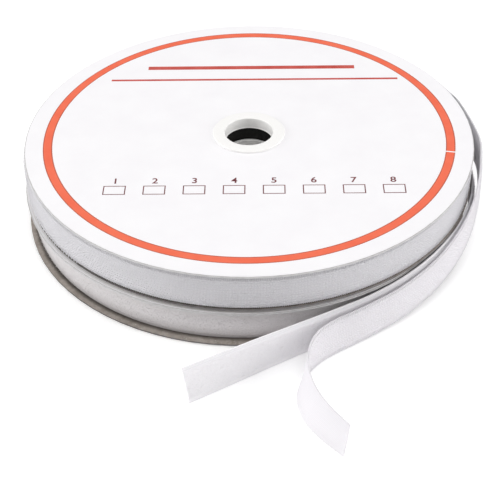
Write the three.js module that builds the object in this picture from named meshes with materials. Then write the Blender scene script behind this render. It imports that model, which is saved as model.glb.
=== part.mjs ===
// Two flanged reels of hook and loop tape, stacked flat, each with the free end of its tape drawn off.
// Millimetres, +Z up. The origin is on the surface that the stack stands on, below its middle.
import * as THREE from 'three';
import { mergeVertices } from 'three/addons/utils/BufferGeometryUtils.js';

// Discs and label
const DISC_DIAMETER = 260;
const DISC_THICKNESS = 0.8;
const LABEL_THICKNESS = 0.25;
const LABEL_MARGIN = 0.5; // board left bare round the label

// Hub: two collars that plug into the core from above and below
const BORE_DIAMETER = 28;
const BARREL_WALL = 1.6;
const FLANGE_DIAMETER = 42;
const TOP_FLANGE_THICKNESS = 1.2;
const BOTTOM_FLANGE_THICKNESS = 0.5;
const FLANGE_ROUNDING = 0.6;
const TOP_BARREL_DEPTH = 5.8; // below its flange
const BOTTOM_BARREL_HEIGHT = 8.4; // above its flange
const BARREL_CHAMFER = 0.5;

// Core that the tape is wound on: a sleeve and a rim, joined by a web at half height
const CORE_DIAMETER = 60;
const CORE_WALL = 2.5;
const CORE_WEB = 3;

// Tape
const TAPE_WIDTH = 20;
const HOOK_TAPE_THICKNESS = 1.8;
const LOOP_TAPE_THICKNESS = 2.2;
const HOOK_TAPE_INSET = -2; // from the disc's rim inwards to where the outermost turn leaves
const LOOP_TAPE_INSET = 2;
const OUTER_TURNS = 2;
const TURN_GAP = 0.6; // between turns, and between the turns and the pack

// Fits
const SEAT_GAP = 0.1; // between flat faces that rest on each other
const PLUG_GAP = 0.3; // round a barrel in its hole
const SIDE_GAP = 0.25; // between the tape's edges and the discs
const REEL_GAP = 0.3; // between the two reels' flanges
const JOIN_GAP = 0.3; // between the outer turns and the free end
const FLOOR_GAP = 0.3; // under a free end
const STRAIGHT_PAST_RIM = 6; // of a free end, before its route begins

// How the reels lie: the upper one has slipped a little to the right over the lower one
const REEL_SLIP = 2;

// Facets
const DISC_SIDES = 80;
const HUB_SIDES = 48;
const STEPS_PER_TURN = 72;
const STEPS_PER_FREE_END = 64;
const ROUNDING_STEPS = 3;
const SAME_CORNER = 1e-4; // corners closer than this are one

// Where each tape leaves its reel, and the route of its free end: azimuth about the reel's axis in degrees,
// distance outside the disc's rim, height of the lower edge over the floor and inward lean in degrees.
const HOOK_LEAVES_AT = 25;
const HOOK_ROUTE = [
  [0, 5.4, 22.5, 0],
  [-7, 5.4, 19, 1],
  [-14, 5.2, 14.5, 2],
  [-22, 5, 10, 3],
  [-31, 4.9, 6.4, 5],
  [-42, 5.3, 3.4, 7],
  [-53, 6.1, 1.5, 9],
  [-61, 7, 0.5, 11],
  [-66.5, 8.5, 0.1, 13],
  [-71.7, 10.9, 0, 14],
  [-76.2, 16.1, 0, 9],
  [-79.7, 26.4, 0, -4],
  [-81.4, 39.5, 0, -17],
  [-81.2, 53.4, 0, -21],
  [-80, 65.2, 0, -17],
  [-77.9, 80, 0, -10],
];
const LOOP_LEAVES_AT = 22;
const LOOP_ROUTE = [
  [-5, 4.2, 2.6, 0],
  [-13, 3.8, 4, 0],
  [-21, 3.5, 4.8, 0],
  [-30, 3.2, 4.9, 0],
  [-40, 2.6, 4.1, 0],
  [-50, 2.1, 2.6, 0],
  [-60, 2, 1, 1],
  [-69.5, 3.3, 0.2, 3],
  [-79.1, 8.6, 0, 7],
  [-86.8, 16.2, 0, 11],
  [-93.6, 26.4, 0, 15],
  [-100.5, 40.9, 0, 18],
];

// Sizes that follow from those above
const discRadius = DISC_DIAMETER / 2;
const barrelRadius = BORE_DIAMETER / 2 + BARREL_WALL;
const holeRadius = barrelRadius + PLUG_GAP;
const bottomDiscZ = BOTTOM_FLANGE_THICKNESS + SEAT_GAP;
const tapeZ = bottomDiscZ + DISC_THICKNESS + SIDE_GAP;
const topDiscZ = tapeZ + TAPE_WIDTH + SIDE_GAP;
const labelZ = topDiscZ + DISC_THICKNESS + SEAT_GAP;
const topFlangeZ = labelZ + LABEL_THICKNESS + SEAT_GAP;
const reelHeight = topFlangeZ + TOP_FLANGE_THICKNESS;
const upperReelZ = reelHeight + REEL_GAP;

const finishes = {
  board: new THREE.MeshStandardMaterial({ color: 0xa8a29c, roughness: 0.9, metalness: 0 }),
  paper: new THREE.MeshStandardMaterial({ color: 0xfbf8fb, roughness: 0.6, metalness: 0 }),
  collar: new THREE.MeshStandardMaterial({ color: 0xf2f1ec, roughness: 0.4, metalness: 0 }),
  core: new THREE.MeshStandardMaterial({ color: 0x0f0e0c, roughness: 0.5, metalness: 0 }),
  hook: new THREE.MeshStandardMaterial({ color: 0xd6d3d8, roughness: 0.6, metalness: 0 }),
  loop: new THREE.MeshStandardMaterial({ color: 0xe0dcda, roughness: 0.9, metalness: 0 }),
};

/** A solid's geometry with only its places, its shared corners merged and its faces pointing out. */
function closedSolid(geometry) {
  geometry.deleteAttribute('normal');
  geometry.deleteAttribute('uv');
  const solid = mergeVertices(geometry, SAME_CORNER);
  const at = solid.getAttribute('position');
  const index = solid.getIndex().array;
  const [a, b, c] = [new THREE.Vector3(), new THREE.Vector3(), new THREE.Vector3()];
  let volume = 0;
  for (let i = 0; i < index.length; i += 3) {
    a.fromBufferAttribute(at, index[i]);
    b.fromBufferAttribute(at, index[i + 1]);
    c.fromBufferAttribute(at, index[i + 2]);
    volume += a.dot(b.cross(c));
  }
  if (volume < 0) {
    for (let i = 0; i < index.length; i += 3) [index[i], index[i + 1]] = [index[i + 1], index[i]];
  }
  return solid;
}

/** A ring about Z: its section, in radius and height, closes on itself. */
function ring(section, sides) {
  const points = section.map(([radius, height]) => new THREE.Vector2(radius, height));
  return closedSolid(new THREE.LatheGeometry([...points, points[0].clone()], sides).rotateX(Math.PI / 2));
}

/** A ring with a rectangular section. */
function flatRing(innerRadius, outerRadius, low, high) {
  return ring([[innerRadius, low], [outerRadius, low], [outerRadius, high], [innerRadius, high]], DISC_SIDES);
}

/** Points of a quarter round about a centre, from one angle in degrees to another. */
function quarterRound(radius, height, rounding, from, to) {
  return Array.from({ length: ROUNDING_STEPS + 1 }, (_, i) => {
    const angle = THREE.MathUtils.degToRad(from + (to - from) * i / ROUNDING_STEPS);
    return [radius + rounding * Math.cos(angle), height + rounding * Math.sin(angle)];
  });
}

/** A hub collar with its flange up: a barrel of the given depth below a flange with a rounded lip. */
function collar(flangeThickness, barrelDepth) {
  const boreRadius = BORE_DIAMETER / 2;
  const flangeRadius = FLANGE_DIAMETER / 2;
  const lip = Math.min(FLANGE_ROUNDING, flangeThickness / 2);
  return ring([
    [boreRadius, -barrelDepth],
    [barrelRadius - BARREL_CHAMFER, -barrelDepth],
    [barrelRadius, -barrelDepth + BARREL_CHAMFER],
    [barrelRadius, 0],
    [flangeRadius, 0],
    ...quarterRound(flangeRadius - lip, flangeThickness - lip, lip, 0, 90),
    ...quarterRound(boreRadius + lip, flangeThickness - lip, lip, 90, 180),
  ], HUB_SIDES);
}

/** The core: a sleeve round the barrels and a rim under the tape, with a web between them. */
function core() {
  const [low, high] = [tapeZ, tapeZ + TAPE_WIDTH];
  const middle = (low + high) / 2;
  const [webLow, webHigh] = [middle - CORE_WEB / 2, middle + CORE_WEB / 2];
  const sleeve = holeRadius + CORE_WALL;
  const outside = CORE_DIAMETER / 2;
  const rim = outside - CORE_WALL;
  return ring([
    [holeRadius, low], [sleeve, low], [sleeve, webLow], [rim, webLow], [rim, low], [outside, low],
    [outside, high], [rim, high], [rim, webHigh], [sleeve, webHigh], [sleeve, high], [holeRadius, high],
  ], HUB_SIDES);
}

/** A place at an azimuth in degrees and a radius about the reel's axis, at a height. */
function polar(azimuth, radius, height) {
  const angle = THREE.MathUtils.degToRad(azimuth);
  return new THREE.Vector3(radius * Math.cos(angle), radius * Math.sin(angle), height);
}

/** A flat tape carried along stations, which hold its middle, its width's way and its outer face's way. */
function tapeSolid(stations, thickness) {
  const corners = [[-1, -1], [1, -1], [1, 1], [-1, 1]];
  const positions = stations.flatMap(({ middle, outward, across }) => corners.flatMap(([out, up]) => {
    const corner = middle.clone().addScaledVector(outward, out * thickness / 2);
    return corner.addScaledVector(across, up * TAPE_WIDTH / 2).toArray();
  }));
  const last = 4 * (stations.length - 1);
  const index = [0, 1, 2, 0, 2, 3, last, last + 2, last + 1, last, last + 3, last + 2];
  for (let start = 0; start < last; start += 4) {
    for (let side = 0; side < 4; side += 1) {
      const [a, b] = [start + side, start + (side + 1) % 4];
      index.push(a, a + 4, b, b, a + 4, b + 4);
    }
  }
  const geometry = new THREE.BufferGeometry();
  geometry.setAttribute('position', new THREE.Float32BufferAttribute(positions, 3));
  geometry.setIndex(index);
  return closedSolid(geometry);
}

/** Stations of the outer turns: a clockwise spiral that gains one tape and one gap a turn until it leaves. */
function turnStations(tape) {
  const pitch = tape.thickness + TURN_GAP;
  const steps = OUTER_TURNS * STEPS_PER_TURN;
  return Array.from({ length: steps + 1 }, (_, i) => {
    const turnsLeft = (steps - i) / STEPS_PER_TURN;
    const azimuth = tape.leavesAt + 360 * turnsLeft;
    const radius = tape.outerRadius - tape.thickness / 2 - pitch * turnsLeft;
    return {
      middle: polar(azimuth, radius, tapeZ + TAPE_WIDTH / 2),
      outward: polar(azimuth, 1, 0),
      across: new THREE.Vector3(0, 0, 1),
    };
  });
}

/** The least gap between the turns, on points half a turn or more apart. */
function leastGap(stations, thickness) {
  let least = Infinity;
  for (let i = 0; i < stations.length; i += 1) {
    for (let j = i + STEPS_PER_TURN / 2; j < stations.length; j += 1) {
      least = Math.min(least, stations[i].middle.distanceTo(stations[j].middle) - thickness);
    }
  }
  return least;
}

/** Stations of a free end: straight off the turns until it is past the rim, then along its route. */
function freeEndStations(tape, floorZ) {
  const startRadius = tape.outerRadius - tape.thickness / 2;
  const level = tapeZ + TAPE_WIDTH / 2;
  const start = polar(tape.leavesAt, startRadius, level);
  const along = polar(tape.leavesAt - 90, 1, 0);
  const clearRadius = discRadius + tape.thickness;
  const toRim = Math.sqrt(clearRadius ** 2 - startRadius ** 2);
  const straight = [JOIN_GAP, toRim, toRim + STRAIGHT_PAST_RIM];
  const places = straight.map((way) => start.clone().addScaledVector(along, way));
  const leans = places.map(() => 0);
  for (const [azimuth, beyondRim, foot, lean] of tape.route) {
    const tilt = THREE.MathUtils.degToRad(Math.abs(lean));
    const rise = (TAPE_WIDTH * Math.cos(tilt) + tape.thickness * Math.sin(tilt)) / 2;
    places.push(polar(azimuth, discRadius + beyondRim, floorZ + FLOOR_GAP + foot + rise));
    leans.push(lean);
  }
  const route = new THREE.CatmullRomCurve3(places);
  const leaning = new THREE.CatmullRomCurve3(leans.map((lean) => new THREE.Vector3(lean, 0, 0)));
  return Array.from({ length: STEPS_PER_FREE_END + 1 }, (_, i) => {
    const t = route.getUtoTmapping(i / STEPS_PER_FREE_END);
    const way = i === 0 ? along.clone() : route.getTangent(t);
    const across = new THREE.Vector3(0, 0, 1).addScaledVector(way, -way.z).normalize();
    across.applyAxisAngle(way, THREE.MathUtils.degToRad(leaning.getPoint(t).x));
    return { middle: route.getPoint(t), outward: new THREE.Vector3().crossVectors(across, way), across };
  });
}

/** One reel with its tape, standing on its bottom flange. Node names start with the reel's name. */
function reel(name, tape, baseZ) {
  const group = new THREE.Group();
  const add = (piece, geometry, finish) => {
    const mesh = new THREE.Mesh(geometry, finishes[finish]);
    mesh.name = `${name}_${piece}`;
    group.add(mesh);
    return mesh;
  };
  const coreRadius = CORE_DIAMETER / 2;
  const packRadius = tape.outerRadius - (OUTER_TURNS + 1) * (tape.thickness + TURN_GAP);

  add('bottom_disc', flatRing(holeRadius, discRadius, bottomDiscZ, bottomDiscZ + DISC_THICKNESS), 'board');
  add('top_disc', flatRing(holeRadius, discRadius, topDiscZ, topDiscZ + DISC_THICKNESS), 'board');
  add('label', flatRing(holeRadius, discRadius - LABEL_MARGIN, labelZ, labelZ + LABEL_THICKNESS), 'paper');
  add('top_collar', collar(TOP_FLANGE_THICKNESS, TOP_BARREL_DEPTH), 'collar').position.z = topFlangeZ;
  const bottomCollar = add('bottom_collar', collar(BOTTOM_FLANGE_THICKNESS, BOTTOM_BARREL_HEIGHT), 'collar');
  bottomCollar.rotation.x = Math.PI;
  bottomCollar.position.z = BOTTOM_FLANGE_THICKNESS;
  add('core', core(), 'core');
  const pack = flatRing(coreRadius + PLUG_GAP, packRadius, tapeZ, tapeZ + TAPE_WIDTH);
  add('wound_tape', pack, tape.finish);

  const turns = turnStations(tape);
  add('outer_turns', tapeSolid(turns, tape.thickness), tape.finish);
  console.log(`${name} outer turns: least gap ${leastGap(turns, tape.thickness).toFixed(2)} mm`);
  const freeEnd = freeEndStations(tape, -baseZ);
  add('free_end', tapeSolid(freeEnd, tape.thickness), tape.finish);
  const length = freeEnd.slice(1).reduce((sum, s, i) => sum + s.middle.distanceTo(freeEnd[i].middle), 0);
  console.log(`${name} free end: ${length.toFixed(0)} mm long`);
  return group;
}

const hookTape = {
  thickness: HOOK_TAPE_THICKNESS,
  outerRadius: discRadius - HOOK_TAPE_INSET,
  leavesAt: HOOK_LEAVES_AT,
  route: HOOK_ROUTE,
  finish: 'hook',
};
const loopTape = {
  thickness: LOOP_TAPE_THICKNESS,
  outerRadius: discRadius - LOOP_TAPE_INSET,
  leavesAt: LOOP_LEAVES_AT,
  route: LOOP_ROUTE,
  finish: 'loop',
};

const lowerReel = reel('lower', loopTape, 0);
lowerReel.position.set(-REEL_SLIP / 2, 0, 0);
const upperReel = reel('upper', hookTape, upperReelZ);
upperReel.position.set(REEL_SLIP / 2, 0, upperReelZ);

const stack = new THREE.Group();
stack.add(lowerReel, upperReel);

export default stack;
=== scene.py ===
"""The looks of a hook and loop tape roll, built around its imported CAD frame.

Two flat reels lie stacked: hook tape on the upper one, loop tape on the lower one. The tape is soft, so
its packs, outer turns and free ends are made here as cloth with hooks and loops on it. The hubs' collars
are made here too, for their rounds and beads, and so is the print on the labels. The boards, labels and
cores are the CAD nodes with finishes. Lengths are in metres, +Z is up.
"""

import bpy
import numpy as np
from mathutils import Matrix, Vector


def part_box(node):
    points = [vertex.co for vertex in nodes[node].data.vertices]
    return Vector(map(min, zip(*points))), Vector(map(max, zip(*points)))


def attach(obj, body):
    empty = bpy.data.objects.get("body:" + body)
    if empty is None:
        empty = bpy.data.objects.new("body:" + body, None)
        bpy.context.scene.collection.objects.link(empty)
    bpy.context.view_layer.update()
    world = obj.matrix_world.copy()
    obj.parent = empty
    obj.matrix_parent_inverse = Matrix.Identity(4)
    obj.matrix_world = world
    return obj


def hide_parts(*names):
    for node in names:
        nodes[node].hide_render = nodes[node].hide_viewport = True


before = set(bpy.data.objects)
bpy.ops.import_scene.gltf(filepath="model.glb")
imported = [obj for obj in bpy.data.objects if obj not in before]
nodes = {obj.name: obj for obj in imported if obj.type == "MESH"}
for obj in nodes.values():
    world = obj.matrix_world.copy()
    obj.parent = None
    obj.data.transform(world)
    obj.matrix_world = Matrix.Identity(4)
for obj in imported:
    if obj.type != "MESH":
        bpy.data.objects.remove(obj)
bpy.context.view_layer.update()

MM = 0.001
REELS = ("lower", "upper")
UP = (0.0, 0.0, 1.0)
SEED = 20  # of the jitter of hooks, loops, stitches and threads

# The camera, from the photograph: its place, its angles in degrees, and its lens and sensor in mm
CAMERA_PLACE = (1.0 * MM, -585.45 * MM, 434.05 * MM)
CAMERA_DOWN = 38.57
CAMERA_TURN = 0.036
CAMERA_ROLL = -0.9165
CAMERA_LENS = 86.19
CAMERA_SENSOR = 36.0

# The studio: a floor, an even sky, and soft boxes of (name, place, size, watts) that face the origin
FLOOR_HALF = 6.0
FLOOR_TONE = (0.95, 0.95, 0.95, 1)
FLOOR_GLOW = 0.2
SKY_STRENGTH = 0.27
WHITE_LIGHT = (1, 1, 1, 1)
SOFT_BOXES = (
    ("overhead", (0.0, 0.0, 1.6), 2.0, 16),
    ("left", (-1.9, -0.1, 0.7), 1.2, 24),
    ("right", (1.9, -0.3, 0.7), 1.2, 22),
    ("front", (0.2, -2.0, 1.5), 1.6, 4.5),
)

# The tapes, as in the CAD source
HOOK_TAPE_THICKNESS = 1.8 * MM
LOOP_TAPE_THICKNESS = 2.2 * MM
OUTER_TURNS = 2
TURN_GAP = 0.6 * MM
FLOOR_GAP = 0.3 * MM
STRAIGHT_PAST_RIM = 6 * MM

# Where each tape leaves its reel, and the route of its free end, as in the CAD source: azimuth about the
# reel's axis in degrees, distance outside the rim and height of the lower edge over the floor in mm, and
# the inward lean in degrees
HOOK_LEAVES_AT = 25
HOOK_ROUTE = (
    (0, 5.4, 22.5, 0), (-7, 5.4, 19, 1), (-14, 5.2, 14.5, 2), (-22, 5, 10, 3), (-31, 4.9, 6.4, 5),
    (-42, 5.3, 3.4, 7), (-53, 6.1, 1.5, 9), (-61, 7, 0.5, 11), (-66.5, 8.5, 0.1, 13), (-71.7, 10.9, 0, 14),
    (-76.2, 16.1, 0, 9), (-79.7, 26.4, 0, -4), (-81.4, 39.5, 0, -17), (-81.2, 53.4, 0, -21),
    (-80, 65.2, 0, -17), (-77.9, 80, 0, -10),
)
LOOP_LEAVES_AT = 22
LOOP_ROUTE = (
    (-5, 4.2, 2.6, 0), (-13, 3.8, 4, 0), (-21, 3.5, 4.8, 0), (-30, 3.2, 4.9, 0), (-40, 2.6, 4.1, 0),
    (-50, 2.1, 2.6, 0), (-60, 2, 1, 1), (-69.5, 3.3, 0.2, 3), (-79.1, 8.6, 0, 7), (-86.8, 16.2, 0, 11),
    (-93.6, 26.4, 0, 15), (-100.5, 40.9, 0, 18),
)

# The cloth: its woven ground, and the loop tape's bare borders and pile
HOOK_GROUND = 0.7 * MM
LOOP_GROUND = 1.1 * MM
CORNER_CUT = 0.2  # of the ground's thickness
LOOP_BORDER = 0.8 * MM
PILE_SHOULDER = 2.2 * MM
PILE_SINK = 0.35 * MM  # of the pile's body under the CAD face, which the loops fill
PACK_GAP = 0.1 * MM  # between the turns of a pack
# The free end's painted light grows over this run
FREED_OVER = 120 * MM  # of a free end, until it is as pale as where nothing lies behind it
SHARP = np.radians(48)  # between faces, from where an edge isn't shaded smooth

# The wires on the cloth. A jitter moves a wire along and across the tape by shares of the pitch, and
# changes its size by a share and its bearing by radians
HOOK_PITCH = 1.6 * MM
HOOK_WIRE = 0.24 * MM
HOOK_BEND = 0.36 * MM
HOOK_JITTER = (0.2, 0.12, 0.06, 0.35)
LOOP_PITCH = 1.4 * MM
LOOP_WIRE = 0.11 * MM
FINE_LOOP_PITCH = 1.2 * MM
FINE_LOOP_WIRE = 0.08 * MM
LOOP_SPAN = 0.9 * MM
LOOP_JITTER = (0.45, 0.45, 0.3, np.pi)
STITCH_PITCH = 1.1 * MM
STITCH_WIRE = 0.4 * MM
STITCH_SPAN = 1.6 * MM
STITCH_HEIGHT = 0.25 * MM
STITCH_REACH = 0.3 * MM  # past the ground's edge
STITCH_JITTER = (0.05, 0.0, 0.0, 0.1)
FRAYED_FROM, FRAYED_TO = 225, 165  # azimuths between which threads hang from the hook tape's outer turn
THREAD_PITCH = 2.4 * MM
THREAD_WIRE = 0.7 * MM
THREAD_LENGTH = 1.9 * MM
THREAD_BOW = 0.3  # of its length
THREAD_JITTER = (0.2, 0.0, 0.15, 0.25)

# The collars, as in the CAD source, with a bead round the barrel's end
BORE_RADIUS = 14.0 * MM
BARREL_RADIUS = 15.6 * MM
FLANGE_RADIUS = 21.0 * MM
FLANGE_ROUNDING = 0.6 * MM
TOP_FLANGE = 1.2 * MM
BOTTOM_FLANGE = 0.5 * MM
BEAD = 0.45 * MM
BEAD_REACH = 0.25 * MM  # into the bore
BEAD_ENDS_AT = -240  # degrees round the bead, where it runs out into the bore's wall

# The print on the labels: a ring, a row of boxes with their numbers, and two rules where a title would be.
# Places are from the reel's axis, turned with the print; rules are (left, bottom, right, top)
RING_INNER = 114.0 * MM
RING_OUTER = 119.4 * MM
RING_SEAM = -11.0  # azimuth of its joint in degrees
RING_SEAM_GAP = 0.5  # degrees
KEYLINE = 0.6 * MM  # the darker line along both edges of the ring
INK_THICKNESS = 0.02 * MM
PRINT_TURN = -0.86  # degrees
BOX_COUNT = 8
BOX_PITCH = 21.93 * MM
BOX_SIZE = (12.4 * MM, 8.2 * MM)
BOX_CORNER = (-79.74 * MM, -51.6 * MM)  # top left of the first box
BOX_LINE = 0.6 * MM
NUMBER_HEIGHT = 4.8 * MM
DIGIT_SHARE = 0.7  # of the font's size that a digit stands tall
NUMBER_BOLD = 0.12 * MM
NUMBER_BASE = -49.4 * MM
RULES = ((-64 * MM, 73 * MM, 66 * MM, 77 * MM), (-86 * MM, 59.5 * MM, 92 * MM, 61.5 * MM))

# Steps of the meshes
TURN_STEPS = 240  # to a turn
PACK_STEPS = 72  # to a turn
ROUTE_STEPS = 40  # between two points of a route
FREE_END_STEP = 1.0 * MM
PILE_BACK_POINTS = 9
PILE_FRONT_POINTS = 49
HOOK_STEPS = 4
LOOP_STEPS = 4
FINE_LOOP_STEPS = 3
STITCH_STEPS = 4
THREAD_STEPS = 4
ROUND_STEPS = 8
COLLAR_SIDES = 128
RING_SIDES = 256
NUMBER_STEPS = 4

# Tones, in pairs of dark and light; wound tape is painted darker, as shade, than a free end, whose paler
# tone is painted light that comes through one layer
GREY_BOARD_FACE = ((0.26, 0.228, 0.2), (0.45, 0.405, 0.37))
GREY_BOARD_EDGE = ((0.26, 0.25, 0.26), (0.38, 0.365, 0.38))
LINED_BOARD_FACE = ((0.5, 0.49, 0.485), (0.64, 0.63, 0.625))
LINED_BOARD_EDGE = ((0.5, 0.495, 0.5), (0.62, 0.615, 0.62))
PAPER = ((0.885, 0.87, 0.89), (0.915, 0.905, 0.92))
WHITE_PLASTIC = ((0.92, 0.91, 0.895), (0.96, 0.95, 0.935))
BLACK_PLASTIC = ((0.006, 0.006, 0.005), (0.014, 0.013, 0.012))
RED_INK = ((0.84, 0.155, 0.085), (0.88, 0.185, 0.105))
DARK_RED_INK = ((0.48, 0.11, 0.065), (0.54, 0.14, 0.085))
BRICK_INK = ((0.5, 0.075, 0.06), (0.6, 0.12, 0.1))
BROWN_INK = ((0.15, 0.045, 0.05), (0.22, 0.075, 0.08))
HOOK_CLOTH_WOUND = ((0.62, 0.61, 0.635), (0.745, 0.735, 0.76))
HOOK_CLOTH_FREE = ((0.775, 0.755, 0.785), (0.855, 0.835, 0.865))
LOOP_CLOTH_WOUND = ((0.58, 0.556, 0.56), (0.73, 0.705, 0.71))
LOOP_CLOTH_FREE = ((0.83, 0.815, 0.84), (0.93, 0.915, 0.935))

# Tones of the nylon wires, each the light one of its pair, and the dark one's share of it; the wound and
# free tones are painted shade and painted light, as for the cloth
HOOK_NYLON_WOUND = (0.745, 0.735, 0.76)
HOOK_NYLON_FREE = (0.855, 0.835, 0.865)
LOOP_NYLON_WOUND = (0.74, 0.715, 0.72)
LOOP_NYLON_FREE = (0.9, 0.885, 0.905)
DULL_NYLON = 0.94

# Flecks in the boards, painted shade on the grey one under what stands close above it, and painted shade
# towards the loop tape's lower edge
BOARD_FLECK = (0.8, 0.77, 0.73, 1)
PAINTED_SHADE = (0.03, 0.025, 0.022, 1)
PAINTED_SHADE_AMOUNT = 0.9
PAINTED_SHADE_REACH = 3 * MM
PAINTED_SHADE_SIDE = 120 * MM  # left and right of the middle, where it is full and least
PAINTED_SHADE_LEAST = 0.3  # of the amount
PAINTED_FOOT_SHADE = (0.15, 0.118, 0.11, 1)
PAINTED_FOOT_SHADE_AMOUNT = 0.4
PAINTED_FOOT_SHADE_UP_TO = 0.45  # of the tape's width


# Surfaces

def unit(rows):
    """Each row divided by its length."""
    return rows / np.linalg.norm(rows, axis=-1, keepdims=True)


def polar(azimuth, radius, height):
    """Places at azimuths in degrees and radii about the Z axis, at heights."""
    angle = np.radians(azimuth)
    return np.stack(np.broadcast_arrays(radius * np.cos(angle), radius * np.sin(angle), height), -1)


def smooth_step(x):
    """0 below 0, 1 above 1, and 3x^2 - 2x^3 between them."""
    x = np.clip(x, 0, 1)
    return x * x * (3 - 2 * x)


def curve_through(rows, per_span):
    """A centripetal Catmull-Rom curve through rows, whose first three columns are places.

    Each span is a cubic between two rows. Its end slopes are the blend of the chords on either side, with
    the square root of each chord's length as its knot step. The rows before the first and past the last are
    mirrored.
    """
    before, after = 2 * rows[:1] - rows[1:2], 2 * rows[-1:] - rows[-2:-1]
    p = np.concatenate([before, rows, after])
    knot = np.sqrt(np.linalg.norm(np.diff(p[:, :3], axis=0), axis=1))[:, None]
    chord = np.diff(p, axis=0)
    wide = p[2:] - p[:-2]
    slope = chord[:-1] / knot[:-1] - wide / (knot[:-1] + knot[1:]) + chord[1:] / knot[1:]
    leave, arrive = slope[:-1] * knot[1:-1], slope[1:] * knot[1:-1]
    t = np.linspace(0, 1, per_span, endpoint=False)[:, None, None]
    span = (rows[:-1] * (2 * t**3 - 3 * t**2 + 1) + leave * (t**3 - 2 * t**2 + t)
            + rows[1:] * (3 * t**2 - 2 * t**3) + arrive * (t**3 - t**2))
    return np.concatenate([span.transpose(1, 0, 2).reshape(-1, rows.shape[1]), rows[-1:]])


def tape_path(middle, across, way=None):
    """A tape's stations: its middle line, the ways along, across and out of it, and the run.

    The way along is the middle line's slope, unless it is given. A free end sets the free mark, here 0.
    """
    way = unit(np.gradient(middle, axis=0)) if way is None else way
    across = unit(across - way * (across * way).sum(1, keepdims=True))
    run = np.concatenate([[0], np.cumsum(np.linalg.norm(np.diff(middle, axis=0), axis=1))])
    return {"middle": middle, "way": way, "across": across, "outward": np.cross(across, way), "run": run,
            "free": np.zeros(len(run))}


def resampled(path, run):
    """A path's stations at other runs along it, each column interpolated."""
    found = {
        key: np.stack([np.interp(run, path["run"], column) for column in path[key].T], -1)
        for key in ("middle", "way", "across", "outward")
    }
    return {**found, "run": run, "free": np.interp(run, path["run"], path["free"])}


def swept(path, profile):
    """A closed profile of (out, up) points carried along a path.

    A place is middle + out * outward + up * across.
    """
    out, up = profile[:, 0], profile[:, 1]
    return (path["middle"][:, None] + out[None, :, None] * path["outward"][:, None]
            + up[None, :, None] * path["across"][:, None])


def tube_faces(stations, sides, closed=False):
    """Quads of a grid of stations by sides that closes round its sides, and on itself if it is closed."""
    i, j = np.meshgrid(np.arange(stations if closed else stations - 1), np.arange(sides), indexing="ij")
    k, n = (j + 1) % sides, (i + 1) % stations
    quads = np.stack([i * sides + j, i * sides + k, n * sides + k, n * sides + j], -1)
    return quads.reshape(-1, 4)


def capped_faces(stations, sides):
    """A tube's quads, and a face over each of its ends."""
    first = np.arange(sides)[::-1]
    last = np.arange((stations - 1) * sides, stations * sides)
    return tube_faces(stations, sides).tolist() + [first.tolist(), last.tolist()]


def arc(x, y, radius, first, last, steps=ROUND_STEPS):
    """Points on a round about (x, y), from one angle in degrees to another."""
    angle = np.radians(np.linspace(first, last, steps + 1))
    return np.stack([x + radius * np.cos(angle), y + radius * np.sin(angle)], -1)


def node_box(node):
    """The lowest and the highest corner of a CAD node."""
    low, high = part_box(node)
    return np.array(low), np.array(high)


def upright_axis(low, high, height=0.0):
    """The point at a height on the upright axis through a box's middle."""
    return np.array([*((low + high) / 2)[:2], height])


def new_object(name, data):
    """An object with its data, put into the scene."""
    made = bpy.data.objects.new(name, data)
    bpy.context.scene.collection.objects.link(made)
    return made


def new_piece(name, points, faces, finish, body, uv=None, marks=None, smooth=True):
    """A mesh at the origin that rides on a body, with a UV map in metres and an attribute for each mark."""
    mesh = bpy.data.meshes.new(name)
    mesh.from_pydata(points.reshape(-1, 3).tolist(), [], faces)
    if uv is not None:
        corner = np.empty(len(mesh.loops), np.int32)
        mesh.loops.foreach_get("vertex_index", corner)
        layer = mesh.uv_layers.new(name="cloth")
        layer.data.foreach_set("uv", uv.reshape(-1, 2)[corner].astype(np.float32).ravel())
    for key, values in (marks or {}).items():
        attribute = mesh.attributes.new(key, "FLOAT", "POINT")
        attribute.data.foreach_set("value", np.asarray(values, np.float32).ravel())
    mesh.polygons.foreach_set("use_smooth", np.full(len(mesh.polygons), smooth))
    mesh.materials.append(finish)
    piece = new_object(name, mesh)
    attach(piece, body)
    return piece


# Finishes

def add(tree, kind, inputs=None, **settings):
    """A new shader node with its settings, and its inputs set to values or linked from outputs."""
    made = tree.nodes.new("ShaderNode" + kind)
    for key, value in settings.items():
        setattr(made, key, value)
    for socket, value in (inputs or {}).items():
        if isinstance(value, bpy.types.NodeSocket):
            tree.links.new(value, made.inputs[socket])
        else:
            made.inputs[socket].default_value = value
    return made


def new_finish(name, **sockets):
    """A material with one Principled shader, its plain values set on its own sockets."""
    material = bpy.data.materials.new(name)
    material.use_nodes = True
    shader = material.node_tree.nodes["Principled BSDF"]
    for socket, value in sockets.items():
        shader.inputs[socket.replace("_", " ")].default_value = value
    return material, material.node_tree, shader


def own_place(tree):
    """A piece's own coordinates."""
    return add(tree, "TexCoord").outputs["Object"]


def mark(tree, name):
    """The value of one of a piece's marks."""
    return add(tree, "Attribute", attribute_name=name).outputs["Fac"]


def noise(tree, where, scale, detail, roughness=0.5):
    """A noise from 0 to 1 over coordinates."""
    made = add(tree, "TexNoise", {"Vector": where, "Scale": scale, "Detail": detail,
                                  "Roughness": roughness})
    return made.outputs["Fac"]


def mapped(tree, value, start, end, first=0.0, last=1.0, **settings):
    """A value's way from start to end as a way from first to last, held at both ends."""
    made = add(tree, "MapRange", {"Value": value, "From Min": start, "From Max": end, "To Min": first,
                                  "To Max": last}, **settings)
    return made.outputs["Result"]


def product(tree, first, second):
    """Two values multiplied."""
    return add(tree, "Math", {0: first, 1: second}, operation="MULTIPLY").outputs["Value"]


def toned(tree, factor, tones, low=0.3, high=0.7):
    """A colour by a factor: the dark tone up to low, the light one from high."""
    made = add(tree, "ValToRGB", {"Fac": factor})
    for element, place, tone in zip(made.color_ramp.elements, (low, high), tones):
        element.position = place
        element.color = (*tone, 1)
    return made.outputs["Color"]


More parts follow.
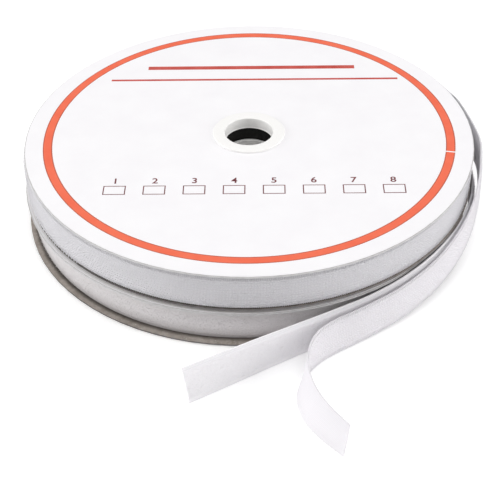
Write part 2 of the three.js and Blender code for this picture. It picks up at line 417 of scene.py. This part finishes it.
def mixed(tree, share, first, second):
    """The first colour changing to the second by a share from 0 to 1."""
    made = add(tree, "Mix", {"Factor": share, "A": first, "B": second}, data_type="RGBA")
    return made.outputs["Result"]


def bump(tree, shader, height, strength, distance):
    """Height as a bump on the shader's normal."""
    made = add(tree, "Bump", {"Height": height, "Strength": strength, "Distance": distance})
    tree.links.new(made.outputs["Normal"], shader.inputs["Normal"])


def painted_shade_under(tree, tone, where, facing_up, amount):
    """Painted shade: a tone darkened where things stand close above it, by an amount at the left and less
    to the right.
    """
    up = add(tree, "CombineXYZ", {"Z": 1.0}).outputs["Vector"]
    above = add(tree, "AmbientOcclusion", {"Distance": PAINTED_SHADE_REACH, "Normal": up}, samples=12)
    shut = mapped(tree, above.outputs["AO"], start=0.5, end=0.95, first=amount, last=0.0)
    topside = mapped(tree, facing_up, start=-0.5, end=-0.2)
    x = add(tree, "SeparateXYZ", {"Vector": where}).outputs["X"]
    side = mapped(tree, x, start=-PAINTED_SHADE_SIDE, end=PAINTED_SHADE_SIDE, first=1.0, last=PAINTED_SHADE_LEAST)
    return mixed(tree, product(tree, shut, product(tree, topside, side)), tone, PAINTED_SHADE)


def board(name, face_tones, edge_tones, under_shade=0.0):
    """Pulp board: a mottle with pale fibre flecks on its faces, other tones on its cut edge, and painted
    shade under what stands close above it.
    """
    material, tree, shader = new_finish(name, Roughness=0.92, Specular_IOR_Level=0.2)
    where = own_place(tree)
    pulp = noise(tree, where, scale=260.0, detail=6.0, roughness=0.65)
    fleck = mapped(tree, noise(tree, where, scale=1500.0, detail=2.0), start=0.66, end=0.74)
    flecked = mixed(tree, fleck, toned(tree, pulp, face_tones), BOARD_FLECK)
    normal = add(tree, "NewGeometry").outputs["True Normal"]
    facing_up = add(tree, "SeparateXYZ", {"Vector": normal}).outputs["Z"]
    upright = add(tree, "Math", {0: facing_up}, operation="ABSOLUTE").outputs["Value"]
    flat = mapped(tree, upright, start=0.4, end=0.8)
    tone = mixed(tree, flat, toned(tree, pulp, edge_tones), flecked)
    # painted shade on the faces that things stand close above, darker at the left
    if under_shade:
        tone = painted_shade_under(tree, tone, where, facing_up, under_shade)
    tree.links.new(tone, shader.inputs["Base Color"])
    bump(tree, shader, pulp, strength=0.25, distance=0.2 * MM)
    return material


def label_paper():
    """Matt white printing paper with a faint mottle and a fine fibre."""
    material, tree, shader = new_finish("label_paper", Roughness=0.8, Specular_IOR_Level=0.12)
    where = own_place(tree)
    mottle = noise(tree, where, scale=40.0, detail=5.0, roughness=0.6)
    tree.links.new(toned(tree, mottle, PAPER), shader.inputs["Base Color"])
    fibre = noise(tree, where, scale=2200.0, detail=3.0)
    bump(tree, shader, fibre, strength=0.06, distance=0.05 * MM)
    return material


def white_moulding():
    """Satin white plastic with a fine moulded grain."""
    material, tree, shader = new_finish("white_moulding", Roughness=0.38, Specular_IOR_Level=0.5)
    grain = noise(tree, own_place(tree), scale=1800.0, detail=3.0)
    tree.links.new(toned(tree, grain, WHITE_PLASTIC), shader.inputs["Base Color"])
    bump(tree, shader, grain, strength=0.08, distance=0.05 * MM)
    return material


def black_moulding():
    """Matt black recycled plastic with a slight grain."""
    material, tree, shader = new_finish("black_moulding", Roughness=0.6, Specular_IOR_Level=0.3)
    grain = noise(tree, own_place(tree), scale=700.0, detail=4.0)
    tree.links.new(toned(tree, grain, BLACK_PLASTIC), shader.inputs["Base Color"])
    bump(tree, shader, grain, strength=0.2, distance=0.1 * MM)
    return material


def printing_ink(name, tones):
    """Matt printing ink, a little uneven."""
    material, tree, shader = new_finish(name, Roughness=0.75, Specular_IOR_Level=0.12)
    mottle = noise(tree, own_place(tree), scale=120.0, detail=4.0)
    tree.links.new(toned(tree, mottle, tones), shader.inputs["Base Color"])
    return material


def freed(tree, wound, free, foot_shade):
    """The wound tape's tone changing to the free end's by the free mark. The free end's paler tone is
    painted light, for light that comes through one layer, and the wound tone is painted shade.

    Painted shade darkens the wound tone by its amount towards the tape's lower edge.
    """
    # painted shade, darker towards the tape's lower edge
    if foot_shade:
        share = mapped(tree, mark(tree, "height"), start=0.0, end=PAINTED_FOOT_SHADE_UP_TO, first=foot_shade, last=0.0,
                       interpolation_type="SMOOTHSTEP")
        wound = mixed(tree, share, wound, PAINTED_FOOT_SHADE)
    return mixed(tree, mark(tree, "free"), wound, free)


def tape_cloth(name, wound, free, foot_shade=0.0):
    """White woven nylon, with its pairs of tones wound and free: the wound tone painted shade, the free one
    painted light.

    Threads run along and across the tape on its UV map, and give way to fuzz by the pile mark.
    """
    material, tree, shader = new_finish(name, Roughness=0.8, Specular_IOR_Level=0.25, Sheen_Weight=0.25,
                                        Sheen_Roughness=0.5)
    cloth = add(tree, "UVMap", uv_map="cloth").outputs["UV"]
    warp, weft = (
        add(tree, "TexWave", {"Vector": cloth, "Scale": scale, "Distortion": 0.6, "Detail": 1.0},
            bands_direction=direction).outputs["Fac"]
        for direction, scale in (("Y", 330.0), ("X", 420.0))
    )
    fuzz = noise(tree, cloth, scale=1400.0, detail=4.0, roughness=0.7)
    threads = {"Factor": mark(tree, "pile"), "A": product(tree, warp, weft), "B": fuzz}
    height = add(tree, "Mix", threads, data_type="FLOAT").outputs["Result"]
    wound_tone, free_tone = (toned(tree, height, tones, low=0.2, high=0.8) for tones in (wound, free))
    tree.links.new(freed(tree, wound_tone, free_tone, foot_shade), shader.inputs["Base Color"])
    bump(tree, shader, height, strength=0.35, distance=0.12 * MM)
    return material


def nylon_wire(name, wound, free, foot_shade=0.0):
    """Clear white nylon filament in its wound and free tones, painted shade and painted light as on the
    cloth, duller in places by a fine noise.
    """
    material, tree, shader = new_finish(name, Roughness=0.45, Specular_IOR_Level=0.4, Subsurface_Weight=0.3,
                                        Subsurface_Radius=(1, 1, 1), Subsurface_Scale=1 * MM)
    streak = noise(tree, own_place(tree), scale=600.0, detail=2.0)
    wound_tone, free_tone = (
        toned(tree, streak, (tuple(DULL_NYLON * part for part in light), light)) for light in (wound, free)
    )
    tree.links.new(freed(tree, wound_tone, free_tone, foot_shade), shader.inputs["Base Color"])
    return material


# Tape

def ground_section(half_width, low, high):
    """The woven ground's section: a flat band from low to high whose four corners are cut."""
    cut = CORNER_CUT * (high - low)
    return np.array([
        (low, -half_width + cut), (low, 0), (low, half_width - cut), (low + cut, half_width),
        (high - cut, half_width), (high, half_width - cut), (high, 0), (high, -half_width + cut),
        (high - cut, -half_width), (low + cut, -half_width),
    ])


def pile_section(half_width, low, ground, top):
    """The loop tape's section and the pile's share of each point.

    The back is flat. The front stands at the ground's height in the bare borders and rises over the
    shoulder, by a smooth step, to the pile's top.
    """
    cut = CORNER_CUT * (ground - low)
    back = np.linspace(-half_width + cut, half_width - cut, PILE_BACK_POINTS)
    front = np.linspace(half_width - cut, -half_width + cut, PILE_FRONT_POINTS)
    share = smooth_step((half_width - np.abs(front) - LOOP_BORDER) / PILE_SHOULDER)
    section = np.concatenate([
        np.stack([np.full_like(back, low), back], -1),
        [(low + cut, half_width), (ground - cut, half_width)],
        np.stack([ground + (top - ground) * share, front], -1),
        [(ground - cut, -half_width), (low + cut, -half_width)],
    ])
    shares = np.concatenate([np.zeros(len(back) + 2), share, np.zeros(2)])
    return section, shares


def tape_piece(name, path, section, shares, finish, body):
    """A length of tape: its section carried along the path, with both ends cut square."""
    stations, sides = len(path["run"]), len(section)
    uv = np.stack(np.broadcast_arrays(path["run"][:, None], section[None, :, 1]), -1)
    height = (section[:, 1] - section[:, 1].min()) / np.ptp(section[:, 1])
    marks = {"pile": np.broadcast_to(shares, (stations, sides)),
             "height": np.broadcast_to(height, (stations, sides)),
             "free": np.broadcast_to(path["free"][:, None], (stations, sides))}
    piece = new_piece(name, swept(path, section), capped_faces(stations, sides), finish, body, uv, marks)
    piece.data.set_sharp_from_angle(angle=SHARP)
    return piece


def wire_template(line, radius):
    """A three-sided wire round a flat line of (along, out) points, as (along, side, out) places.

    A corner lies off its point by the radius times its angle's sine on the normal and cosine to the side.
    """
    way = unit(np.gradient(line, axis=0))
    normal = np.stack([-way[:, 1], way[:, 0]], -1)
    angle = np.radians([90, 210, 330])
    along_out = line[:, None] + radius * np.sin(angle)[None, :, None] * normal[:, None]
    side = np.broadcast_to(radius * np.cos(angle), along_out.shape[:2])
    return np.stack([along_out[..., 0], side, along_out[..., 1]], -1)


def hook_line(height):
    """A cane: a straight stem, then an arc of 200 degrees about a point beside its top."""
    stem = height - HOOK_BEND - HOOK_WIRE / 2
    return np.concatenate([[(0, 0)], arc(HOOK_BEND, stem, HOOK_BEND, 180, -20, HOOK_STEPS)])


def arch_line(span, height, steps):
    """An arch: half an ellipse from foot to foot."""
    angle = np.radians(np.linspace(180, 0, steps + 1))
    return np.stack([span / 2 * np.cos(angle), height * np.sin(angle)], -1)


def stitch_line():
    """A flat arch over the tape's edge, whose outer foot goes on down to the back of the ground."""
    arch = arch_line(STITCH_SPAN, STITCH_HEIGHT, STITCH_STEPS)
    return np.concatenate([arch, [(STITCH_SPAN / 2, -HOOK_GROUND)]])


def thread_line():
    """A thread end: at a share s of its length it stands out by length times bow times (s - s^2)."""
    share = np.linspace(0, 1, THREAD_STEPS + 1)
    return np.stack([THREAD_LENGTH * share, THREAD_BOW * THREAD_LENGTH * (share - share**2)], -1)


def even_lines(half_width, pitch):
    """Lines across the tape a pitch apart, even about its middle."""
    count = int(2 * half_width / pitch) + 1
    return (np.arange(count) - (count - 1) / 2) * pitch


def standing_wires(name, path, finish, body, template, level, pitch, lines, jitter, bearings=(0.0, np.pi)):
    """Copies of a wire in staggered rows over the tape's face.

    Row j runs along the tape on its own line across it. In it wire i stands at run (i + 1/4), or (i + 3/4)
    in every second row, times the pitch, which is evened so that the rows fill the run. Each is moved by a
    seeded jitter in place, size and bearing; the bearings alternate between rows. A corner lies at middle +
    across * v + outward * level, plus its template's along, side and out turned by the bearing.
    """
    rng = np.random.default_rng(SEED)
    reach = np.array(jitter) * (pitch, pitch, 1, 1)
    count = round(path["run"][-1] / pitch)
    even_pitch = path["run"][-1] / count
    j, i = np.meshgrid(np.arange(len(lines)), np.arange(count), indexing="ij")
    shift = rng.uniform(-1, 1, (4, *j.shape)) * reach[:, None, None]
    run = ((i + 0.25 + 0.5 * (j % 2)) * even_pitch + shift[0]).ravel()
    v = (np.asarray(lines)[:, None] + shift[1]).ravel()
    size = 1 + shift[2].ravel()
    bearing = np.array(bearings)[j % len(bearings)].ravel() + shift[3].ravel()
    at = resampled(path, run)
    foot = at["middle"] + v[:, None] * at["across"] + level * at["outward"]
    along, side, out = (template[None, :, :, k] * size[:, None, None] for k in range(3))
    cos, sin = np.cos(bearing)[:, None, None], np.sin(bearing)[:, None, None]
    turned_along, turned_side = along * cos - side * sin, along * sin + side * cos
    points = (foot[:, None, None] + turned_along[..., None] * at["way"][:, None, None]
              + turned_side[..., None] * at["across"][:, None, None]
              + out[..., None] * at["outward"][:, None, None])
    stations, sides = template.shape[:2]
    base = np.arange(len(run))[:, None, None] * (stations * sides)
    quads = tube_faces(stations, sides)[:, ::-1]
    tip = np.arange((stations - 1) * sides, stations * sides)
    faces = (quads[None] + base).reshape(-1, 4).tolist() + (tip[None] + base[:, 0]).tolist()
    height = np.repeat((v - v.min()) / max(np.ptp(v), MM), stations * sides)
    free = np.repeat(at["free"], stations * sides)
    return new_piece(name, points, faces, finish, body, marks={"height": height, "free": free})


class Reel:
    """One reel's tape: its sizes from the frame and the paths of its pack, outer turns and free end."""

    def __init__(self, name, thickness, leaves_at, route):
        """Takes the sizes from the reel's nodes, and a route of degrees and mm."""
        disc_low, disc_high = node_box(f"{name}_bottom_disc")
        tape_low, tape_high = node_box(f"{name}_wound_tape")
        core_low, core_high = node_box(f"{name}_core")
        self.name = name
        self.thickness = thickness
        self.leaves_at = leaves_at
        self.route = np.array(route) * (1, MM, MM, 1)
        self.axis = upright_axis(disc_low, disc_high)
        self.rim = (disc_high[0] - disc_low[0]) / 2
        self.width = tape_high[2] - tape_low[2]
        self.level = (tape_high[2] + tape_low[2]) / 2
        self.pack_radius = (tape_high[0] - tape_low[0]) / 2
        self.core_radius = (core_high[0] - core_low[0]) / 2
        self.turn_radius = self.pack_radius + (OUTER_TURNS + 1) * (thickness + TURN_GAP) - thickness / 2

    def spiral(self, first_radius, last_radius, turns, steps):
        """A clockwise spiral that ends where the tape leaves the reel, its radius growing evenly."""
        share = np.linspace(0, 1, int(turns * steps) + 1)
        azimuth = self.leaves_at + 360 * turns * (1 - share)
        radius = first_radius + (last_radius - first_radius) * share
        middle = self.axis + polar(azimuth, radius, self.level)
        tangent = polar(azimuth - 90, 1.0, 0.0)
        return tape_path(middle, np.broadcast_to(UP, middle.shape), tangent)

    def pack_path(self):
        """The spiral of the inner turns, as many as fit between the core and the pack's outside."""
        first = self.core_radius + self.thickness
        last = self.pack_radius - self.thickness / 2
        turns = int((last - first) / (self.thickness + PACK_GAP))
        return self.spiral(first, last, turns, PACK_STEPS)

    def turn_path(self, turns=OUTER_TURNS):
        """The spiral of the last turns, which gain a tape and a gap each."""
        first = self.turn_radius - turns * (self.thickness + TURN_GAP)
        return self.spiral(first, self.turn_radius, turns, TURN_STEPS)

    def free_end_path(self):
        """Straight off the turns until the tape is past the rim, then along the route, with its lean."""
        start = polar(self.leaves_at, self.turn_radius, self.level)
        along = polar(self.leaves_at - 90, 1.0, 0.0)
        to_rim = np.sqrt((self.rim + self.thickness) ** 2 - self.turn_radius**2)
        straight = start + np.array([[0.0], [to_rim], [to_rim + STRAIGHT_PAST_RIM]]) * along
        azimuth, beyond, foot, lean = self.route.T
        tilt = np.radians(np.abs(lean))
        rise = (self.width * np.cos(tilt) + self.thickness * np.sin(tilt)) / 2
        routed = polar(azimuth, self.rim + beyond, FLOOR_GAP + foot + rise)
        places = self.axis + np.concatenate([straight, routed])
        leans = np.concatenate([np.zeros(len(straight)), lean])
        line = curve_through(np.column_stack([places, leans]), ROUTE_STEPS)
        upright = tape_path(line[:, :3], np.broadcast_to(UP, (len(line), 3)))
        turn = np.radians(line[:, 3:])
        sideways = np.cross(upright["way"], upright["across"])
        across = upright["across"] * np.cos(turn) + sideways * np.sin(turn)
        leaning = tape_path(line[:, :3], across)
        # the free mark ramps in the free end's painted light
        leaning["free"] = smooth_step(leaning["run"] / FREED_OVER)
        steps = int(leaning["run"][-1] / FREE_END_STEP)
        return resampled(leaning, np.linspace(0, leaning["run"][-1], steps))


def dress_reel(reel, section, shares, standing, cloth, wire):
    """The pack, outer turns and free end of one reel's tape, with the wires that stand on its outer face.

    standing holds the rows of wires by name; cloth and wire are the finishes.
    """
    body_reel, body_tape = f"{reel.name}_reel", f"{reel.name}_tape"
    flat = ground_section(reel.width / 2, -reel.thickness / 2, reel.thickness / 2)
    no_pile = np.zeros(len(flat))
    pack = tape_piece(f"{reel.name}_tape_pack", reel.pack_path(), flat, no_pile, cloth, body_reel)
    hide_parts(f"{reel.name}_wound_tape")
    turns = tape_piece(f"{reel.name}_tape_turns", reel.turn_path(), section, shares, cloth, body_tape)
    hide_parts(f"{reel.name}_outer_turns")
    end_path = reel.free_end_path()
    end = tape_piece(f"{reel.name}_tape_end", end_path, section, shares, cloth, body_tape)
    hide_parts(f"{reel.name}_free_end")
    last_turn = reel.turn_path(1)
    on_turns = [standing_wires(f"{reel.name}_turn_{kind}", last_turn, wire, body_tape, **rows)
                for kind, rows in standing.items()]
    on_end = [standing_wires(f"{reel.name}_end_{kind}", end_path, wire, body_tape, **rows)
              for kind, rows in standing.items()]


def hook_tape():
    """The upper reel: a woven ground with rows of cut hooks on its outer face and stitched selvedges."""
    reel = Reel("upper", HOOK_TAPE_THICKNESS, HOOK_LEAVES_AT, HOOK_ROUTE)
    low, top = -reel.thickness / 2, reel.thickness / 2
    ground = low + HOOK_GROUND
    section = ground_section(reel.width / 2 - STITCH_REACH, low, ground)
    cloth = tape_cloth("hook_cloth", HOOK_CLOTH_WOUND, HOOK_CLOTH_FREE)
    wire = nylon_wire("hook_nylon", HOOK_NYLON_WOUND, HOOK_NYLON_FREE)
    hooks = {
        "template": wire_template(hook_line(top - ground), HOOK_WIRE / 2), "level": ground,
        "pitch": HOOK_PITCH, "lines": even_lines(reel.width / 2 - STITCH_SPAN - HOOK_BEND, HOOK_PITCH),
        "jitter": HOOK_JITTER,
    }
    stitches = {
        "template": wire_template(stitch_line(), STITCH_WIRE / 2), "level": ground, "pitch": STITCH_PITCH,
        "lines": np.array([-1, 1]) * (reel.width / 2 - STITCH_SPAN / 2 - STITCH_WIRE / 2),
        "jitter": STITCH_JITTER, "bearings": (-np.pi / 2, np.pi / 2),
    }
    dress_reel(reel, section, np.zeros(len(section)), {"hooks": hooks, "stitches": stitches}, cloth, wire)
    frayed_edge(reel, ground, wire)


def frayed_edge(reel, ground, wire):
    """Thread ends that hang from the lower edge of the hook tape's last turn, along its frayed stretch."""
    last_turn = reel.turn_path(1)
    turned = (HOOK_LEAVES_AT + 360 - np.array([FRAYED_FROM, FRAYED_TO])) / 360 * last_turn["run"][-1]
    frayed = resampled(last_turn, np.linspace(*turned, TURN_STEPS))
    frayed["run"] = frayed["run"] - turned[0]
    threads = standing_wires(
        f"{reel.name}_turn_threads", frayed, wire, f"{reel.name}_tape",
        wire_template(thread_line(), THREAD_WIRE / 2), level=ground, pitch=THREAD_PITCH,
        lines=[-reel.width / 2 + THREAD_LENGTH / 2], jitter=THREAD_JITTER, bearings=(-np.pi / 2,))


def loop_tape():
    """The lower reel: a woven ground with a soft pile of loops on its outer face."""
    reel = Reel("lower", LOOP_TAPE_THICKNESS, LOOP_LEAVES_AT, LOOP_ROUTE)
    low, top = -reel.thickness / 2, reel.thickness / 2
    pile_top = top - PILE_SINK
    section, shares = pile_section(reel.width / 2, low, low + LOOP_GROUND, pile_top)
    # the wound loop tape and its loops get painted shade towards their lower edge
    cloth = tape_cloth("loop_cloth", LOOP_CLOTH_WOUND, LOOP_CLOTH_FREE, PAINTED_FOOT_SHADE_AMOUNT)
    wire = nylon_wire("loop_nylon", LOOP_NYLON_WOUND, LOOP_NYLON_FREE, PAINTED_FOOT_SHADE_AMOUNT)
    kinds = (("loops", LOOP_PITCH, LOOP_WIRE, LOOP_STEPS),
             ("fine_loops", FINE_LOOP_PITCH, FINE_LOOP_WIRE, FINE_LOOP_STEPS))
    standing = {
        kind: {
            "template": wire_template(arch_line(LOOP_SPAN, PILE_SINK, steps), thick / 2), "level": pile_top,
            "pitch": pitch, "lines": even_lines(reel.width / 2 - LOOP_BORDER - PILE_SHOULDER / 2, pitch),
            "jitter": LOOP_JITTER,
        }
        for kind, pitch, thick, steps in kinds
    }
    dress_reel(reel, section, shares, standing, cloth, wire)


# Boards, labels, cores and collars

def paint(node, finish):
    """Gives a CAD node its finish."""
    mesh = nodes[node].data
    mesh.materials.clear()
    mesh.materials.append(finish)


def collar(node, flange, finish, body):
    """A collar in place of its CAD node: a profile of barrel and flange turned about the reel's axis.

    The profile is worked out with the flange up and the barrel's end at height 0, then turned over for a
    collar whose flange is below.
    """
    low, high = node_box(node)
    depth = high[2] - low[2]
    lip = min(FLANGE_ROUNDING, flange / 2)
    profile = np.concatenate([
        arc(BORE_RADIUS + lip, depth - lip, lip, 180, 90),
        arc(FLANGE_RADIUS - lip, depth - lip, lip, 90, 0),
        [(FLANGE_RADIUS, depth - flange), (BARREL_RADIUS, depth - flange)],
        arc(BARREL_RADIUS - BEAD, BEAD, BEAD, 0, -90),
        arc(BORE_RADIUS - BEAD_REACH + BEAD, BEAD, BEAD, -90, BEAD_ENDS_AT),
    ])
    if node.endswith("bottom_collar"):
        profile = (profile * (1, -1) + (0, depth))[::-1]
    azimuth = np.linspace(0, 360, COLLAR_SIDES, endpoint=False)[:, None]
    points = upright_axis(low, high, low[2]) + polar(azimuth, profile[:, 0], profile[:, 1])
    faces = tube_faces(COLLAR_SIDES, len(profile), closed=True).tolist()
    piece = new_piece(f"{node}_moulding", points, faces, finish, body)
    piece.data.set_sharp_from_angle(angle=SHARP)
    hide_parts(node)


def finish_reels():
    """Finishes on the boards, labels and cores of both reels, and their collars."""
    # the grey board gets painted shade under what stands close above it
    raw = board("grey_board", GREY_BOARD_FACE, GREY_BOARD_EDGE, PAINTED_SHADE_AMOUNT)
    lined = board("lined_board", LINED_BOARD_FACE, LINED_BOARD_EDGE)
    paper, white, black = label_paper(), white_moulding(), black_moulding()
    for reel in REELS:
        paint(f"{reel}_bottom_disc", raw)
        paint(f"{reel}_top_disc", lined)
        paint(f"{reel}_label", paper)
        paint(f"{reel}_core", black)
        collar(f"{reel}_top_collar", TOP_FLANGE, white, f"{reel}_reel")
        collar(f"{reel}_bottom_collar", BOTTOM_FLANGE, white, f"{reel}_reel")


# Print on the labels

def print_piece(name, points, faces, ink, reel):
    """A piece of print that turns with its reel."""
    piece = new_piece(f"{reel}_printed_{name}", points, faces, ink, f"{reel}_reel", smooth=False)


def printed_ring(reel, name, axis, level, inner, outer, ink):
    """A flat ring of ink: a thin rectangle turned about the reel's axis, all round but for its seam."""
    radius = np.array([inner, outer, outer, inner])
    height = level + INK_THICKNESS * np.array([0, 0, 1, 1])
    azimuth = RING_SEAM + np.linspace(RING_SEAM_GAP / 2, 360 - RING_SEAM_GAP / 2, RING_SIDES + 1)
    points = axis + polar(azimuth[:, None], radius, height)
    print_piece(name, points, capped_faces(RING_SIDES + 1, len(radius)), ink, reel)


def print_places(axis, flat):
    """Places on the label for print points of (x, y, height), turned with the print about the axis."""
    turn = np.radians(PRINT_TURN)
    x = flat[..., 0] * np.cos(turn) - flat[..., 1] * np.sin(turn)
    y = flat[..., 0] * np.sin(turn) + flat[..., 1] * np.cos(turn)
    return axis + np.stack([x, y, flat[..., 2]], -1)


def printed_slabs(reel, name, axis, level, rectangles, ink):
    """Thin boxes of ink over rectangles of (left, bottom, right, top)."""
    left, bottom, right, top = np.array(rectangles).T
    low = np.full(len(left), level)
    outline = ((left, bottom), (right, bottom), (right, top), (left, top))
    corners = [np.stack([x, y, z], -1) for z in (low, low + INK_THICKNESS) for x, y in outline]
    points = np.stack(corners, 1).reshape(-1, 3)
    quads = np.array([(3, 2, 1, 0), (4, 5, 6, 7), (0, 1, 5, 4), (1, 2, 6, 5), (2, 3, 7, 6), (3, 0, 4, 7)])
    faces = (quads[None] + len(corners) * np.arange(len(left))[:, None, None]).reshape(-1, 4)
    print_piece(name, print_places(axis, points), faces.tolist(), ink, reel)


def box_strokes():
    """The outlines of a row of boxes, four rectangles each."""
    left = BOX_CORNER[0] + BOX_PITCH * np.arange(BOX_COUNT)
    right, top = left + BOX_SIZE[0], np.full(BOX_COUNT, BOX_CORNER[1])
    bottom = top - BOX_SIZE[1]
    strokes = [(left, bottom, right, bottom + BOX_LINE), (left, top - BOX_LINE, right, top),
               (left, bottom + BOX_LINE, left + BOX_LINE, top - BOX_LINE),
               (right - BOX_LINE, bottom + BOX_LINE, right, top - BOX_LINE)]
    return np.concatenate([np.stack(stroke, -1) for stroke in strokes])


def printed_numbers(reel, axis, level, ink):
    """The boxes' numbers: text outlines, filled and of the ink's thickness, over the middle of each box."""
    points, faces, used = [], [], 0
    for k in range(BOX_COUNT):
        text = bpy.data.curves.new("number", "FONT")
        text.body = str(k + 1)
        text.align_x = "CENTER"
        text.size = NUMBER_HEIGHT / DIGIT_SHARE
        text.resolution_u = NUMBER_STEPS
        text.extrude = INK_THICKNESS / 2
        text.offset = NUMBER_BOLD
        holder = bpy.data.objects.new("number", text)
        mesh = bpy.data.meshes.new_from_object(holder)
        flat = np.empty(len(mesh.vertices) * 3)
        mesh.vertices.foreach_get("co", flat)
        middle = BOX_CORNER[0] + BOX_PITCH * k + BOX_SIZE[0] / 2
        points.append(flat.reshape(-1, 3) + (middle, NUMBER_BASE, level + INK_THICKNESS / 2))
        faces += [[used + corner for corner in polygon.vertices] for polygon in mesh.polygons]
        used += len(mesh.vertices)
        bpy.data.objects.remove(holder)
        bpy.data.curves.remove(text)
        bpy.data.meshes.remove(mesh)
    print_piece("numbers", print_places(axis, np.concatenate(points)), faces, ink, reel)


def print_labels():
    """The print on both labels: a ring between its keylines, boxes, numbers and rules."""
    red = printing_ink("red_ink", RED_INK)
    dark_red = printing_ink("dark_red_ink", DARK_RED_INK)
    brick = printing_ink("brick_ink", BRICK_INK)
    brown = printing_ink("brown_ink", BROWN_INK)
    rings = (("ring", RING_INNER + KEYLINE, RING_OUTER - KEYLINE, red),
             ("inner_keyline", RING_INNER, RING_INNER + KEYLINE, dark_red),
             ("outer_keyline", RING_OUTER - KEYLINE, RING_OUTER, dark_red))
    for reel in REELS:
        low, high = node_box(f"{reel}_label")
        axis, level = upright_axis(low, high), high[2]
        for name, inner, outer, ink in rings:
            printed_ring(reel, name, axis, level, inner, outer, ink)
        printed_slabs(reel, "boxes", axis, level, box_strokes(), brown)
        printed_numbers(reel, axis, level, brown)
        printed_slabs(reel, "rules", axis, level, RULES, brick)


# Stage

def pale_floor():
    """A square floor with a faint glow of its own."""
    corners = FLOOR_HALF * np.array([(-1, -1, 0), (1, -1, 0), (1, 1, 0), (-1, 1, 0)])
    mesh = bpy.data.meshes.new("floor")
    mesh.from_pydata(corners.tolist(), [], [(0, 1, 2, 3)])
    material, *_ = new_finish("floor_white", Base_Color=FLOOR_TONE, Roughness=0.9, Specular_IOR_Level=0.1,
                              Emission_Color=WHITE_LIGHT, Emission_Strength=FLOOR_GLOW)
    mesh.materials.append(material)
    new_object("floor", mesh)


def even_sky():
    """White light from all round, and plain tones in the picture."""
    world = bpy.data.worlds.new("studio")
    world.use_nodes = True
    background = world.node_tree.nodes["Background"]
    background.inputs["Color"].default_value = WHITE_LIGHT
    background.inputs["Strength"].default_value = SKY_STRENGTH
    bpy.context.scene.world = world
    bpy.context.scene.view_settings.view_transform = "Standard"


def soft_box(name, place, size, watts):
    """A square area light at a place, its -Z axis towards the origin and its X axis level."""
    light = bpy.data.lights.new(name, "AREA")
    light.size = size
    light.energy = watts
    back = unit(np.array(place))
    nudge = np.array((1e-9, 0, 0))  # decides for a light straight above
    right = unit(np.cross(UP, back) + nudge)
    turn = np.column_stack([right, np.cross(back, right), back])
    new_object(name, light).matrix_world = Matrix.Translation(place) @ Matrix(turn.tolist()).to_4x4()


def photo_camera():
    """The camera at the photograph's place, turned, tipped down and rolled."""
    camera = bpy.data.cameras.new("camera")
    camera.sensor_width = CAMERA_SENSOR
    camera.lens = CAMERA_LENS
    eye = new_object("camera", camera)
    turn, tip, roll = (np.radians(a) for a in (CAMERA_TURN, 90 - CAMERA_DOWN, CAMERA_ROLL))
    eye.matrix_world = (Matrix.Translation(CAMERA_PLACE) @ Matrix.Rotation(turn, 4, "Z")
                        @ Matrix.Rotation(tip, 4, "X") @ Matrix.Rotation(roll, 4, "Z"))
    bpy.context.scene.camera = eye


finish_reels()
hook_tape()
loop_tape()
print_labels()
pale_floor()
even_sky()
for box in SOFT_BOXES:
    soft_box(*box)
photo_camera()
